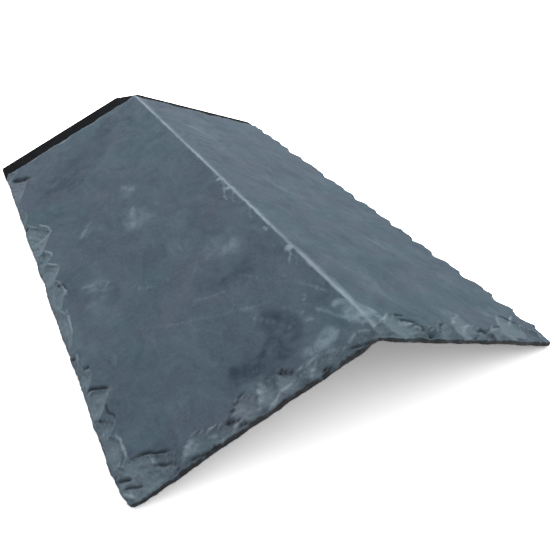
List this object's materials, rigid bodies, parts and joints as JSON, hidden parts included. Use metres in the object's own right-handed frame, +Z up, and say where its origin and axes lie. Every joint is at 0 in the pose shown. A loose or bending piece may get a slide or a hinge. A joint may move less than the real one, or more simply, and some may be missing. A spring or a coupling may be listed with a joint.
{
  "type": "slate-effect ridge tile",
  "caption": "V-shaped ridge tile with a slate-effect face, roughly dressed butt and eave edges, and a thin plain lap at its head that the next tile covers.",
  "frame": {"origin": "under the crest, halfway along, on the level floor that the eaves stand on", "axes": "+Y along the ridge from the butt to the lap at the head, +X across it, +Z up"},
  "size_m": [0.2796, 0.45, 0.0629],
  "materials": {
    "slate_effect": "matte, slate-coloured through and through"
  },
  "bodies": {
    "root": {"ridge_tile": "slate_effect"}
  },
  "joints": []
}
